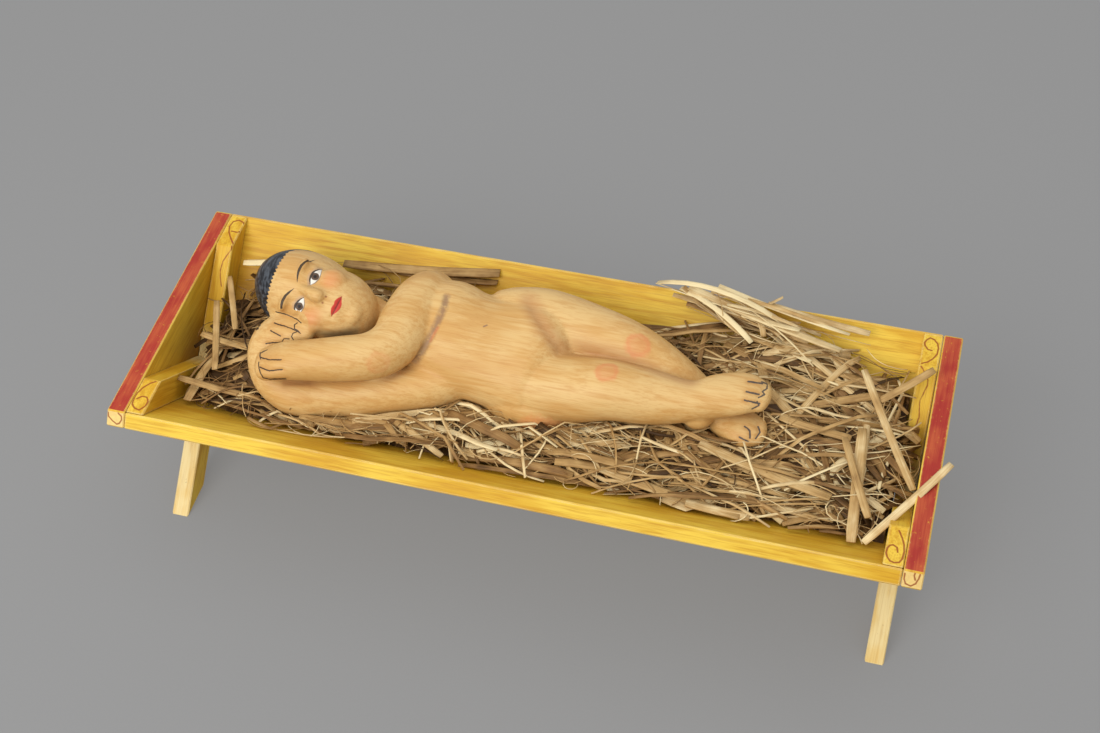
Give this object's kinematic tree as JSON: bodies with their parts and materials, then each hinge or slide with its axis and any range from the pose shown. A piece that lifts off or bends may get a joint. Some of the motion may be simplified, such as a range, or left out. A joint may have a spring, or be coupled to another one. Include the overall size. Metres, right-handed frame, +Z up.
{
  "type": "carved wooden child in a manger",
  "caption": "Carved and painted wooden child leaning its head on both hands, lying on loose straw in a painted V-shaped board manger on crossed legs.",
  "frame": {"origin": "on the floor, under the middle of the manger", "axes": "+X along the manger towards the figure's feet, +Y to the far side, +Z up"},
  "size_m": [0.43, 0.159, 0.1385],
  "materials": {
    "flesh_paint": "thin flesh-coloured paint over wood, satin",
    "straw": "dry split straw, matt",
    "yellow_paint": "golden yellow paint over wood, satin",
    "red_paint": "red paint over wood, worn",
    "cream_paint": "pale yellow paint, worn"
  },
  "bodies": {
    "root": {"figure": "flesh_paint", "straw_bed": "straw", "near_side_board": "yellow_paint", "far_side_board": "yellow_paint", "head_end_board": "red_paint", "foot_end_board": "red_paint", "head_end_leg_near_foot": "cream_paint", "head_end_leg_far_foot": "cream_paint", "foot_end_leg_near_foot": "cream_paint", "foot_end_leg_far_foot": "cream_paint"}
  },
  "joints": []
}
